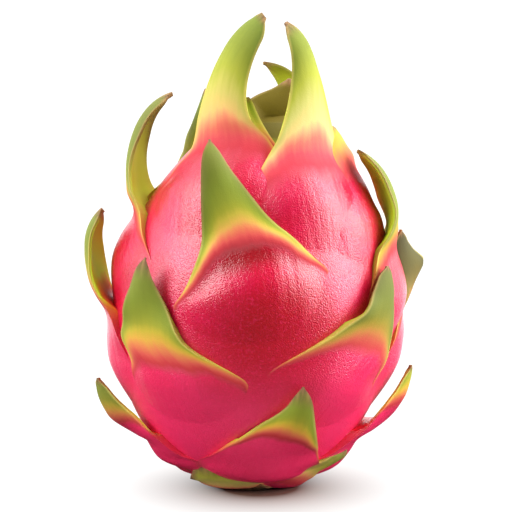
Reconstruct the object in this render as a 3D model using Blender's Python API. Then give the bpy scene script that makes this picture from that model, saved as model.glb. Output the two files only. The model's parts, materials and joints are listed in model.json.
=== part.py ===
"""Dragon fruit, whole and standing on its stem end.

The fruit grew as one piece: an egg-shaped body whose skin swells into fleshy scales.  Each scale starts as a
low pad in the skin, stands proud of it at its margins, and leaves it at the axil as a free pointed tip.  The
woody stub of the stem it was cut from sits in a pocket at the front of the base.

Lengths in the tables are millimetres and angles are degrees; meshes are built in metres, +Z up.  The origin
is the middle of the flat spot the fruit rests on.  Azimuth 0 faces -Y and grows towards +X.
"""

import math

import bmesh
import bpy
import numpy as np

MM = 0.001

# Body of the fruit
BODY_RADIUS = 42.0  # at its widest, without the pads
WIDEST_HEIGHT = 53.0
LOWER_HALF = 56.0  # half height of the ellipse below the widest point, cut off by the flat spot
UPPER_HALF = 64.0  # height of the dome above the widest point
LOWER_POWER = 0.5
UPPER_POWER = 1.0  # above 0.5, so the shoulders run in towards the crown
LEAN = 0.03  # how far it leans towards +X, for each unit of height
NAVEL_HEIGHT = 108.0  # rim of the pit that the flower left
NAVEL_DEPTH = 5.0
BODY_SIDES = 40
BODY_RINGS = 22

# Stub of the stem
STUB_PLACE = (7.5, -8.5)  # the stem end is turned a little to the front
STUB_RADIUS = 5.5
STUB_HEIGHT = 7.0
STUB_CHAMFER = 0.8
STUB_SIDES = 18
FIT_GAP = 0.3  # between the stub and its pocket
CUTTER_REACH = 30.0  # how far the pocket's cutter passes below the base
SLAB_RADIUS = 70.0  # wider than the whole fruit

# Pads
ROOT_DEPTH = 5.0  # how far a pad's back lies under the skin
BACK_SHARE = 0.82  # width of a pad's back against its front
SHOULDER = 0.4  # share of the pad, below the axil, over which the margins run into the skin
NECK = 0.75  # share of a pad's bulge that is left at the axil
CLIMB = 1.5  # how soon the bulge is reached, going up the pad
MARGIN_LIFT = 2.2  # height of the margins above the skin at the axil
MARGIN_SINK = 0.5  # how far the foot of a pad lies under the skin
FLATNESS = 2.2  # power of the pad's cross-section; 2 would be a parabola
JOINING = 0.2  # share of the pad, either side of the axil, over which the pad turns into the tip

# Tips
MARGIN_THICKNESS = 0.8
MIDDLE_THICKNESS = 3.4
THINNING = 1.8  # how much thinner the middle is at the point than at the axil
# Radius of a tip's cross-section against half its width: the first share for a strap, both for a full tip
STRAIGHT_ARC = 0.57
FULL_ARC = 1.65
LEAST_ARC = 6.0
CURL_IN = 1.6  # how soon the cross-section turns from the body's radius to the tip's own
TWIST_IN = 2.2  # how soon the twist is reached, going up the tip
START_HANDLE = 0.38  # handles of the midrib's curve against the tip's reach
END_HANDLE = 0.36
POINT_SHARE = 0.1  # share of the tip that is rounded off to a point
MIDRIB_STEPS = 120

# Faces across a scale, along its pad and along its tip
LARGE_GRID = (6, 5, 8)
SMALL_GRID = (4, 3, 5)
SMALL_WIDTH = 34.0  # scales narrower than this have the small grid


def smooth(x):
    """Runs from 0 to 1 with no slope at either end."""
    x = np.clip(x, 0.0, 1.0)
    return x * x * (3.0 - 2.0 * x)


def body_radius(height):
    """Radius of the body at a height: half an ellipse below the widest point, a pointed dome above it."""
    height = np.asarray(height, float)
    below = np.clip((WIDEST_HEIGHT - height) / LOWER_HALF, 0.0, 0.999)
    above = np.clip((height - WIDEST_HEIGHT) / UPPER_HALF, 0.0, 0.999)
    lower = (1.0 - below**2) ** LOWER_POWER
    upper = (1.0 - above**2) ** UPPER_POWER
    return BODY_RADIUS * np.where(height < WIDEST_HEIGHT, lower, upper)


def body_slope(height):
    """How fast the radius grows with height."""
    step = 0.01
    return (body_radius(height + step) - body_radius(height - step)) / (2 * step)


MERIDIAN_HEIGHTS = np.linspace(-2.0, 116.0, 600)
MERIDIAN_LENGTHS = np.concatenate(
    [[0.0], np.cumsum(np.hypot(np.diff(MERIDIAN_HEIGHTS), np.diff(body_radius(MERIDIAN_HEIGHTS))))]
)


def up_the_body(height, distance):
    """The height reached after going a distance up the skin from a height."""
    start = np.interp(height, MERIDIAN_HEIGHTS, MERIDIAN_LENGTHS)
    return np.interp(start + distance, MERIDIAN_LENGTHS, MERIDIAN_HEIGHTS)


# One row for each scale, whorl by whorl from the stem end to the crown.
#   azimuth, axil    where the middle of the scale leaves the skin: angle round the fruit, and height
#   width            across the widest part of the pad
#   pad              how far the pad reaches below the axil, along the skin
#   tip              the point: distance from the fruit's axis, shift towards larger azimuth, and height
#   leave            angle at which the midrib lifts off the skin at the axil
#   arrive           angle of the midrib from straight up at the point, outwards positive
#   sway             1 where the sideways shift grows evenly along the tip, 0 where it comes near the point
#   full             share of the tip's outline that shapes its body; the rest is the flare of its base
#   blunt            power of that outline: below 1 the tip is rounded, 1 is a plain triangle
#   flare            power of the base's outline: the higher, the nearer to the axil the tip widens
#   bulge            how far the middle of the pad stands out of the skin
#   twist            turn of the tip's blade about its midrib, reached on the way to the point
#   drift            sideways step of the pad below the axil
SCALE_FIELDS = (
    "azimuth", "axil", "width", "pad", "tip", "leave", "arrive", "sway", "full", "blunt", "flare", "bulge",
    "twist", "drift",
)
SCALES = {
    # stem end: short and crumpled
    "a1": (-24, 5, 36, 10, (26, -1, 9.5), -5, 20, 1.0, 0.53, 0.10, 3.5, 2.0, 0, 0),
    "a2": (52, 5, 34, 12, (30, 7.5, 12.0), -5, -5, 1.0, 0.50, 0.60, 3.5, 2.2, 0, 0),
    "a6": (-8, 2, 26, 8, (21, -1, 3.2), 10, 60, 1.0, 0.52, 0.15, 3.5, 1.5, 0, 0),
    "a3": (124, 6, 28, 11, (29, 0, 11.0), 5, 20, 1.0, 0.55, 0.60, 3.5, 2.2, 0, 0),
    "a4": (196, 5, 28, 11, (27, 2, 9.5), 5, 30, 1.0, 0.55, 0.60, 3.5, 2.2, 0, 0),
    "a5": (268, 6, 28, 9, (28, -3, 9.0), 5, 15, 1.0, 0.55, 0.60, 3.5, 1.2, 0, 0),
    # first full whorl
    "b1": (-75.2, 14.7, 39.7, 16, (47.2, -0.1, 32.8), 28, 4, 1, 0.64, 0.54, 3.7, 2.6, 17, 0),
    "b2": (12.3, 14.5, 40.5, 19.9, (45.9, 4.4, 36.8), 3, -20, 1.56, 0.5, 0.56, 2.3, 3.2, -19, -0.4),
    "b3": (82.4, 15.1, 39.3, 24, (47.3, 0.3, 35.5), 30, 1, 1, 0.61, 0.55, 3.7, 3.3, -14, 0),
    "b4": (147, 16, 40, 24, (46, -3, 36.0), 12, 20, 1.0, 0.60, 0.62, 3.5, 3.0, 0, 0),
    "b5": (-147, 15, 40, 24, (46, 3, 35.0), 12, 20, 1.0, 0.60, 0.62, 3.5, 3.0, 0, 0),
    # second whorl, round the widest part
    "c1": (-44.5, 49.7, 41.9, 31.6, (45.2, 0, 72), 2, -28, 1, 0.63, 0.77, 2.7, 3.6, 15, 8.8),
    "c2": (50.5, 47.9, 42, 31.9, (43.9, 6.1, 68), 17, -25, 1.48, 0.62, 0.49, 3.3, 3.7, 9, -6.5),
    "c3": (97.2, 53.9, 47.4, 39.9, (42.6, -4.1, 74.8), 62, 2, 1.05, 0.57, 0.63, 1.9, 4.2, -51, 0.5),
    "c4": (178, 48, 43, 32, (48, 5, 74.0), 10, -10, 1.0, 0.60, 0.62, 3.5, 3.5, 0, 0),
    "c5": (-90.5, 50.1, 41.2, 32, (46.4, -2.2, 81.3), 26, -48, 0.85, 0.66, 0.21, 3.7, 2.9, -7, 0),
    # third whorl, on the shoulders
    "d1": (-7.8, 76.4, 45.9, 33.4, (38.8, -9.1, 106.2), -7, -36, 1.31, 0.52, 0.63, 4.5, 3.8, 24, -0.3),
    "d2": (81.8, 69.9, 47.9, 31.8, (29.6, -5.1, 100), 25, -65, 0.15, 0.7, 0.51, 3.1, 3.3, 18, 0),
    "d3": (148, 75, 44, 32, (38, 4, 106.0), 18, -20, 1.0, 0.58, 0.60, 3.5, 3.8, 0, 0),
    "d4": (-148, 77, 44, 32, (38, -4, 107.0), 18, -20, 1.0, 0.58, 0.60, 3.5, 3.8, 0, 0),
    "d5": (-97.6, 79.5, 54, 31.3, (27.2, -4.4, 115.2), 52, -74, 0.39, 0.44, 0.29, 2.8, 2.9, -2, 5.8),
    # crown
    "e1": (-34.9, 101, 48.1, 34.1, (14.7, 10, 139.8), 36, -36, -1.06, 0.4, 0.21, 5, 4, -11, -1.2),
    "e2": (40.8, 97.6, 44.6, 33.8, (16.6, -5.9, 137.6), 25, -49, -0.55, 0.38, 0.36, 2.9, 4.2, 3, -1.7),
    "e3": (73.3, 91.4, 41.5, 32.1, (21.5, 0.9, 106.4), 6, -41, 1.16, 0.54, 0.36, 3.5, 3.7, -11, -7),
    "e4": (143.2, 93.1, 43.6, 32, (15.1, 10.7, 123.2), 15, -77, -0.09, 0.41, 0.44, 3.6, 4.1, 5, 0),
    "e5": (-126.5, 86.3, 43.9, 32, (17.1, 4.9, 116.1), 6, -24, 1.46, 0.48, 0.46, 3.3, 2.1, 51, -0.1),
    "e6": (-157, 95, 44, 32, (14, 4, 118.5), 0, -40, 0.8, 0.45, 0.45, 3.5, 4.0, 0, 0),
    # small inner scales round the navel
    "f1": (12.8, 98.1, 8.6, 8, (10.4, -6.4, 115.4), 9, 4, 0.95, 0.36, 0.12, 5.6, 1.5, 4, 0),
    "f2": (173.7, 106.8, 25.7, 10, (10.4, -7, 119), 15, -12, 2.11, 0.74, 0.56, 3.3, 1.6, 1, 0),
    "f3": (80, 105, 14, 10, (9, 0, 116.0), 40, -10, 1.0, 0.45, 0.50, 3.5, 2.0, 0, 0),
    "f4": (-95, 105, 14, 10, (9, 0, 116.0), 40, -10, 1.0, 0.45, 0.50, 3.5, 2.0, 0, 0),
}


def cubic(p0, p1, p2, p3, x):
    """Bezier curve from p0 to p3, at parameters x."""
    x = x[:, None]
    y = 1.0 - x
    return p0 * y**3 + 3 * p1 * y**2 * x + 3 * p2 * y * x**2 + p3 * x**3


def midrib(scale):
    """The free midrib in (outwards, sideways, up), evenly spaced, its length and its first direction."""
    height = scale["axil"]
    slope = float(body_slope(height))
    out, up = 1 / math.hypot(1, slope), -slope / math.hypot(1, slope)
    neck = NECK * scale["bulge"]
    start = np.array([float(body_radius(height)) + out * neck, 0.0, height + up * neck])
    end = np.array(scale["tip"], float)
    reach = np.linalg.norm(end - start)
    leave = math.atan(slope) + math.radians(scale["leave"])
    arrive = math.radians(scale["arrive"])
    lean = end[1] / reach
    first = np.array([math.sin(leave), lean * scale["sway"], math.cos(leave)])
    last = np.array([math.sin(arrive), lean * (2 - scale["sway"]), math.cos(arrive)])
    first /= np.linalg.norm(first)
    last /= np.linalg.norm(last)
    steps = np.linspace(0, 1, MIDRIB_STEPS)
    curve = cubic(start, start + first * reach * START_HANDLE, end - last * reach * END_HANDLE, end, steps)
    lengths = np.concatenate([[0.0], np.cumsum(np.linalg.norm(np.diff(curve, axis=0), axis=1))])
    even = lengths[-1] * steps
    curve = np.stack([np.interp(even, lengths, curve[:, k]) for k in range(3)], axis=1)
    return curve, lengths[-1], first


def half_width(scale, along, free_length):
    """Half the width at distances along the midrib, from the axil: negative on the pad, positive on the tip.

    The outline is a mix of two powers of the distance from the point: a blunt one that shapes the tip and a
    steep one that flares out at its base.
    """
    shoulder = SHOULDER * scale["pad"]
    from_tip = np.clip((free_length - along) / (free_length + shoulder), 0.01, 1.0)
    full = scale["full"]
    outline = full * from_tip ** scale["blunt"] + (1 - full) * from_tip ** scale["flare"]
    point = np.sqrt(1 - np.clip(1 - from_tip / POINT_SHARE, 0.0, 0.95) ** 2)
    below = np.clip((-along - shoulder) / (scale["pad"] - shoulder), 0.0, 0.95)
    return 0.5 * scale["width"] * outline * point * np.sqrt(1 - below**2)


def pad_faces(scale, along, side, half, free_length):
    """Outer and inner face of the pad: the body's skin raised by the bulge, and the same skin sunk.

    Its rows are turned with the lean of the tip, and straighten out towards the foot of the pad.
    """
    shoulder = SHOULDER * scale["pad"]
    climb = 1 + along / scale["pad"]
    rise = smooth(CLIMB * climb) * (1 - (1 - NECK) * smooth(2 * climb - 1))
    edge = MARGIN_SINK * (smooth((along + scale["pad"]) / (scale["pad"] - shoulder)) - 1)
    edge = edge + MARGIN_LIFT * smooth((along + shoulder) / shoulder)
    soft = smooth(-along / shoulder)
    across = (1 - np.abs(side) ** FLATNESS) ** (1 + 0.7 * soft)
    lift = edge + (scale["bulge"] * rise - MARGIN_SINK * (1 - rise) - edge) * across

    lean = scale["sway"] * scale["tip"][1] / free_length
    shift = lean * (along + np.minimum(along, 0) ** 2 / (2 * scale["pad"])) + scale["drift"] * soft
    height = up_the_body(scale["axil"], along - lean * np.clip(climb, 0, 1) * side * half)
    radius = np.maximum(body_radius(height), LEAST_ARC)
    slope = body_slope(height)
    out, up = 1 / np.hypot(1, slope), -slope / np.hypot(1, slope)

    def on_skin(sideways, raised):
        angle = sideways / radius
        r = radius + out * raised
        return np.stack([r * np.cos(angle), r * np.sin(angle), height + up * raised], axis=-1)

    front = on_skin(side * half + shift, lift)
    back = on_skin(BACK_SHARE * side * half + shift, -ROOT_DEPTH + 0 * lift)
    return front, back


def tip_faces(scale, along, side, half, rib):
    """Outer and inner face of the tip: arcs carried along the midrib, thickest in the middle."""
    curve, free_length, first = rib
    steps = np.linspace(0, 1, MIDRIB_STEPS)
    share = np.clip(along[:, 0] / free_length, 0, 1)
    centre = np.stack([np.interp(share, steps, curve[:, k]) for k in range(3)], axis=1)
    centre = centre + np.minimum(along, 0) * first
    forward = np.stack([np.interp(share, steps, np.gradient(curve[:, k])) for k in range(3)], axis=1)
    forward /= np.linalg.norm(forward, axis=1, keepdims=True)
    sideways = np.array([0.0, 1.0, 0.0]) - forward * forward[:, 1:2]
    sideways /= np.linalg.norm(sideways, axis=1, keepdims=True)
    outward = np.cross(sideways, forward)
    turn = math.radians(scale["twist"]) * smooth(share * TWIST_IN)[:, None]
    outward, sideways = (
        outward * np.cos(turn) + sideways * np.sin(turn),
        sideways * np.cos(turn) - outward * np.sin(turn),
    )

    bend = smooth(share * CURL_IN)[:, None]
    skin_arc = float(body_radius(scale["axil"])) + NECK * scale["bulge"]
    own_arc = np.maximum((STRAIGHT_ARC + FULL_ARC * scale["full"]) * half, LEAST_ARC)
    arc = (1 - bend) * skin_arc + bend * own_arc
    angle = side * half / arc
    normal = outward[:, None] * np.cos(angle)[..., None] + sideways[:, None] * np.sin(angle)[..., None]
    outer = centre[:, None] + (normal - outward[:, None]) * arc[..., None]
    middle = MIDDLE_THICKNESS - THINNING * share[:, None]
    thick = MARGIN_THICKNESS + (middle - MARGIN_THICKNESS) * (1 - np.abs(side) ** 2.5)
    thick = thick * np.minimum(1, 0.45 + half / 4)
    return outer, outer - normal * thick[..., None]


def scale_sheets(scale, across, along_pad, along_tip):
    """Outer and inner face of a whole scale as two grids of points in metres, in the fruit's own axes."""
    rib = midrib(scale)
    free_length = rib[1]
    along = np.concatenate([
        np.linspace(-scale["pad"], 0, along_pad, endpoint=False),
        free_length * np.linspace(0, 1, along_tip + 1) ** 0.9,
    ])[:, None]
    side = np.sin(0.5 * math.pi * np.linspace(-1, 1, across + 1))[None, :]
    half = half_width(scale, along, free_length)
    pad = pad_faces(scale, along, side, half, free_length)
    tip = tip_faces(scale, along, side, half, rib)
    joining = JOINING * scale["pad"]
    blend = smooth((along + joining) / (2 * joining))[..., None]
    turn = math.radians(scale["azimuth"])
    to_fruit = np.array([
        [math.sin(turn), math.cos(turn), LEAN],
        [-math.cos(turn), math.sin(turn), 0.0],
        [0.0, 0.0, 1.0],
    ])
    return [((1 - blend) * pad[k] + blend * tip[k]) @ to_fruit.T * MM for k in range(2)]


def closed_scale(name, outer, inner):
    """A closed mesh from the two faces of a scale, joined all round their rim."""
    rows, columns = outer.shape[:2]
    mesh = bmesh.new()
    front = [[mesh.verts.new(p) for p in row] for row in outer]
    back = [[mesh.verts.new(p) for p in row] for row in inner]
    for i in range(rows - 1):
        for j in range(columns - 1):
            mesh.faces.new((front[i][j], front[i][j + 1], front[i + 1][j + 1], front[i + 1][j]))
            mesh.faces.new((back[i][j], back[i + 1][j], back[i + 1][j + 1], back[i][j + 1]))
    rim = [(0, j) for j in range(columns - 1)]
    rim += [(i, columns - 1) for i in range(rows - 1)]
    rim += [(rows - 1, j) for j in range(columns - 1, 0, -1)]
    rim += [(i, 0) for i in range(rows - 1, 0, -1)]
    for (i, j), (k, m) in zip(rim, rim[1:] + rim[:1]):
        mesh.faces.new((front[k][m], front[i][j], back[i][j], back[k][m]))
    return closed_object(name, mesh)


def closed_object(name, mesh):
    """An object from a closed bmesh, in triangles with their faces out."""
    bmesh.ops.triangulate(mesh, faces=mesh.faces)
    bmesh.ops.recalc_face_normals(mesh, faces=mesh.faces)
    data = bpy.data.meshes.new(name)
    mesh.to_mesh(data)
    mesh.free()
    return bpy.data.objects.new(name, data)


def turned(name, profile, sides):
    """A closed solid from a profile of (radius, height) turned round the Z axis."""
    mesh = bmesh.new()
    points = [mesh.verts.new((r * MM, 0.0, z * MM)) for r, z in profile]
    edges = [mesh.edges.new(pair) for pair in zip(points, points[1:])]
    full_turn = 2 * math.pi
    bmesh.ops.spin(mesh, geom=points + edges, axis=(0, 0, 1), steps=sides, angle=full_turn, use_merge=True)
    bmesh.ops.remove_doubles(mesh, verts=mesh.verts, dist=1e-6)
    return closed_object(name, mesh)


def body_profile():
    """Radius and height down the body's outside, from the navel's floor to the middle of the flat base."""
    rim = float(body_radius(NAVEL_HEIGHT))
    floor = NAVEL_HEIGHT - NAVEL_DEPTH
    pit = [(0.0, floor), (rim * 0.4, floor), (rim * 0.75, NAVEL_HEIGHT - 1)]
    turns = np.linspace(0, 1, BODY_RINGS)
    base, top = np.interp([0.0, NAVEL_HEIGHT], MERIDIAN_HEIGHTS, MERIDIAN_LENGTHS)
    heights = np.interp(top + (base - top) * turns, MERIDIAN_LENGTHS, MERIDIAN_HEIGHTS)
    heights[-1] = 0.0
    wall = list(zip(body_radius(heights), heights))
    return pit + wall + [(0.0, 0.0)]


def plain_material(name, colour, roughness):
    """A Principled material."""
    material = bpy.data.materials.new(name)
    material.use_nodes = True
    shader = material.node_tree.nodes["Principled BSDF"]
    shader.inputs["Base Color"].default_value = (*colour, 1.0)
    shader.inputs["Roughness"].default_value = roughness
    shader.inputs["Metallic"].default_value = 0.0
    return material


def apply_boolean(target, operation, **operand):
    """Cuts or joins with one Boolean, applied."""
    modifier = target.modifiers.new("join", "BOOLEAN")
    modifier.operation = operation
    modifier.solver = "MANIFOLD"
    for key, value in operand.items():
        setattr(modifier, key, value)
    graph = bpy.context.evaluated_depsgraph_get()
    mesh = bpy.data.meshes.new_from_object(target.evaluated_get(graph))
    target.modifiers.remove(modifier)
    old = target.data
    target.data = mesh
    bpy.data.meshes.remove(old)


def clear_scene():
    for obj in list(bpy.data.objects):
        bpy.data.objects.remove(obj, do_unlink=True)


def make_fruit():
    """The body and its scales, joined into one solid, with a flat base and a pocket for the stub."""
    scene = bpy.context.scene.collection
    fruit = turned("fruit", body_profile(), BODY_SIDES)
    for vertex in fruit.data.vertices:
        vertex.co.x += LEAN * vertex.co.z
    scene.objects.link(fruit)
    scales = bpy.data.collections.new("scales")
    scene.children.link(scales)
    for name, row in SCALES.items():
        scale = dict(zip(SCALE_FIELDS, row))
        grid = SMALL_GRID if scale["width"] < SMALL_WIDTH else LARGE_GRID
        scales.objects.link(closed_scale("scale_" + name, *scale_sheets(scale, *grid)))
    apply_boolean(fruit, "UNION", operand_type="COLLECTION", collection=scales)
    for obj in list(scales.objects):
        bpy.data.objects.remove(obj, do_unlink=True)
    bpy.data.collections.remove(scales)

    slab = turned("slab", [(0, 0), (SLAB_RADIUS, 0), (SLAB_RADIUS, -CUTTER_REACH), (0, -CUTTER_REACH)], 12)
    pocket_radius = STUB_RADIUS + FIT_GAP
    pocket_roof = STUB_HEIGHT + FIT_GAP
    pocket = turned(
        "pocket",
        [(0, pocket_roof), (pocket_radius, pocket_roof), (pocket_radius, -CUTTER_REACH), (0, -CUTTER_REACH)],
        STUB_SIDES,
    )
    pocket.location = (STUB_PLACE[0] * MM, STUB_PLACE[1] * MM, 0)
    for cutter in (slab, pocket):
        scene.objects.link(cutter)
        apply_boolean(fruit, "DIFFERENCE", object=cutter)
        bpy.data.objects.remove(cutter, do_unlink=True)
    fruit.data.materials.clear()
    fruit.data.materials.append(plain_material("rind", (0.62, 0.02, 0.09), 0.38))


def make_stub():
    """The cut end of the stem, a short woody plug with a chamfered foot."""
    profile = [
        (0, STUB_HEIGHT),
        (STUB_RADIUS, STUB_HEIGHT),
        (STUB_RADIUS, STUB_CHAMFER),
        (STUB_RADIUS - STUB_CHAMFER, 0),
        (0, 0),
    ]
    stub = turned("stem_stub", profile, STUB_SIDES)
    stub.location = (STUB_PLACE[0] * MM, STUB_PLACE[1] * MM, 0)
    bpy.context.scene.collection.objects.link(stub)
    stub.data.materials.append(plain_material("stem", (0.20, 0.12, 0.05), 0.8))


clear_scene()
make_fruit()
make_stub()
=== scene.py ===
import json
import math

import bpy
import numpy as np
from mathutils import Matrix, Vector

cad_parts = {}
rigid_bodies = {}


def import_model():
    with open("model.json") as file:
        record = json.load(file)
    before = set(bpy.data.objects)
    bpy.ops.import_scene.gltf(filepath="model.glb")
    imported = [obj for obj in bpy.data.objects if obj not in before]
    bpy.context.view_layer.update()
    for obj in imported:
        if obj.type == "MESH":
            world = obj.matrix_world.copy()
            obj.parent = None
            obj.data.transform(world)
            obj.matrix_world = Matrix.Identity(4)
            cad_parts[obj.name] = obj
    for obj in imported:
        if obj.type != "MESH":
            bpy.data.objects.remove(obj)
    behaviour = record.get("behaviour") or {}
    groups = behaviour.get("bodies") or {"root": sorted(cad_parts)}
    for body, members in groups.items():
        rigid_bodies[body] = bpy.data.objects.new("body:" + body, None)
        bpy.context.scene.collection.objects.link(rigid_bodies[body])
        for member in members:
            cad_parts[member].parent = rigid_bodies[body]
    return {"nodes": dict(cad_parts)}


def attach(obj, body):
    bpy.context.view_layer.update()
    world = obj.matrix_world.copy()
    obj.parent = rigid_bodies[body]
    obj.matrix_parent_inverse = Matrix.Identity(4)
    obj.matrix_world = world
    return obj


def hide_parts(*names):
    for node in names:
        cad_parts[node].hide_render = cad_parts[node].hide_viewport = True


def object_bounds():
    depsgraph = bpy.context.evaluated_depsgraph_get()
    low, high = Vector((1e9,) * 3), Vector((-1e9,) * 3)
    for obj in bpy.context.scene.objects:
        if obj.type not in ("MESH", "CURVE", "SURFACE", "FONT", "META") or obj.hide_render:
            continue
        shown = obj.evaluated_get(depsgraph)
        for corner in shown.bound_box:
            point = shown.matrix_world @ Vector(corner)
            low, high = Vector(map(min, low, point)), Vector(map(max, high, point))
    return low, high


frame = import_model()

# Dragon fruit standing on its stem end: one skin of fleshy scales round an egg-shaped body, and the cut stem
# in a pocket under it.
# Tables are in millimetres and degrees, meshes in metres.  Azimuth 0 is the front (-Y) and grows towards +X.

mm = 0.001
cadLow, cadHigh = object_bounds()
print("frame loaded:", sorted(frame["nodes"]))


def smooth(x):
    # 3x^2 - 2x^3 between 0 and 1, flat at both ends
    x = np.clip(x, 0.0, 1.0)
    return x * x * (3.0 - 2.0 * x)


def waves(seed, count, low, high, *places):
    # a sum of sines of the places, with seeded counts between low and high and seeded phases, about -1..1
    draw = np.random.default_rng(seed)
    total = 0.0
    for _ in range(count):
        pull = draw.uniform(low, high, len(places)) * draw.choice([-1, 1], len(places))
        total = total + np.sin(sum(p * k for p, k in zip(places, pull)) + draw.uniform(0, 2 * math.pi))
    return total / math.sqrt(count)


def linear(code):
    # sRGB hex to linear: a straight line below 0.04045, ((c + 0.055) / 1.055) ^ 2.4 above it
    parts = [int(code[i:i + 2], 16) / 255 for i in (1, 3, 5)]
    return [c / 12.92 if c <= 0.04045 else ((c + 0.055) / 1.055) ** 2.4 for c in parts] + [1.0]


def gridQuads(rows, columns, start=0, wrap=False):
    # the faces between neighbouring points of a grid; with wrap the last column meets the first
    i = np.arange(rows - 1)[:, None]
    j = np.arange(columns if wrap else columns - 1)[None, :]
    k = (j + 1) % columns
    corners = [i * columns + j, i * columns + k, (i + 1) * columns + k, (i + 1) * columns + j]
    return start + np.stack([np.broadcast_to(c, (rows - 1, j.size)) for c in corners], axis=-1).reshape(-1, 4)


def meshFrom(name, points, faces, marks=None):
    # an object from points in metres and arrays of faces, with a float attribute on the corners for each mark
    data = bpy.data.meshes.new(name)
    corners = np.concatenate([f.ravel() for f in faces]).astype(np.int32)
    sizes = np.concatenate([np.full(len(f), f.shape[1]) for f in faces]).astype(np.int32)
    data.vertices.add(len(points))
    data.vertices.foreach_set("co", np.asarray(points, np.float32).ravel())
    data.loops.add(corners.size)
    data.loops.foreach_set("vertex_index", corners)
    data.polygons.add(sizes.size)
    data.polygons.foreach_set("loop_start", np.concatenate([[0], np.cumsum(sizes)[:-1]]).astype(np.int32))
    data.update(calc_edges=True)
    for key, values in (marks or {}).items():
        layer = data.attributes.new(key, "FLOAT", "CORNER")
        layer.data.foreach_set("value", np.asarray(values, np.float32)[corners])
    return bpy.data.objects.new(name, data)


def cutOrJoin(target, operation, **operand):
    # one Boolean, applied
    step = target.modifiers.new("join", "BOOLEAN")
    step.operation = operation
    step.solver = "MANIFOLD"
    for key, value in operand.items():
        setattr(step, key, value)
    seen = bpy.context.evaluated_depsgraph_get()
    result = bpy.data.meshes.new_from_object(target.evaluated_get(seen))
    target.modifiers.remove(step)
    old = target.data
    target.data = result
    bpy.data.meshes.remove(old)


# Body: the same curves as the CAD fruit, in finer steps
body = dict(
    radius=42.0, widest=53.0, lowerHalf=56.0, upperHalf=64.0, lowerPower=0.5, upperPower=1.0, lean=0.03,
    navel=108.0, navelDepth=5.0, oliveBelow=8.0, oliveOver=4.0,  # the olive cup starts below the navel's rim
    sides=128, rings=72,
)


def bodyRadius(height):
    # radius x (1 - below^2)^0.5 under the widest point, radius x (1 - above^2) over it
    height = np.asarray(height, float)
    below = np.clip((body["widest"] - height) / body["lowerHalf"], 0.0, 0.999)
    above = np.clip((height - body["widest"]) / body["upperHalf"], 0.0, 0.999)
    lower = (1.0 - below**2) ** body["lowerPower"]
    upper = (1.0 - above**2) ** body["upperPower"]
    return body["radius"] * np.where(height < body["widest"], lower, upper)


def bodySlope(height, step=0.01):
    return (bodyRadius(height + step) - bodyRadius(height - step)) / (2 * step)


skinHeights = np.linspace(-2.0, 116.0, 600)
skinSteps = np.hypot(np.diff(skinHeights), np.diff(bodyRadius(skinHeights)))
skinLengths = np.concatenate([[0.0], np.cumsum(skinSteps)])


def upTheBody(height, distance):
    # the height reached after going a distance up the skin from a height
    start = np.interp(height, skinHeights, skinLengths)
    return np.interp(start + distance, skinLengths, skinHeights)


# Scales, whorl by whorl from the stem end, as in the CAD fruit:
#   azimuth, axil     where the scale leaves the skin; width across its pad; pad, its reach below the axil
#   tip               the point: out from the axis, shift towards larger azimuth, height
#   leave, arrive     angles of the midrib off the skin at the axil and off upright at the point
#   sway              1 where that shift grows evenly up the tip, 0 where it comes near the point
#   full, blunt       how full the tip's outline is and how round its point; flare of its base
#   bulge             how far the middle of the pad stands out of the skin
#   twist, drift      turn of the blade about its midrib, and sideways step of the pad below the axil
# Rows b1-b3, c1-c3, c5, d1, d2, d5, e1-e5, f1 and f2 were set by a least-squares fit and rounded, the other
# shapes and all the looks were given one by one.
# The looks of each:
#   green             where the midrib turns from red to green, from the axil
#   arch              how much lower that line runs at the margins
#   spread            how long the turn takes against the usual
#   pale              how light its yellow is, and below 0 how olive
#   dry               how much of the point is withered
#   paintedLitInner   1 where the inner face is painted brighter and greener, a painted stand-in for light on it
#   crease            how deep the crease under its orange band is, as a share of the deepest, and how strong the painted shade in it is
shapeFields = (
    "azimuth", "axil", "width", "pad", "tip", "leave", "arrive", "sway", "full", "blunt", "flare", "bulge",
    "twist", "drift",
)
lookFields = ("green", "arch", "spread", "pale", "dry", "paintedLitInner", "crease")
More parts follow.
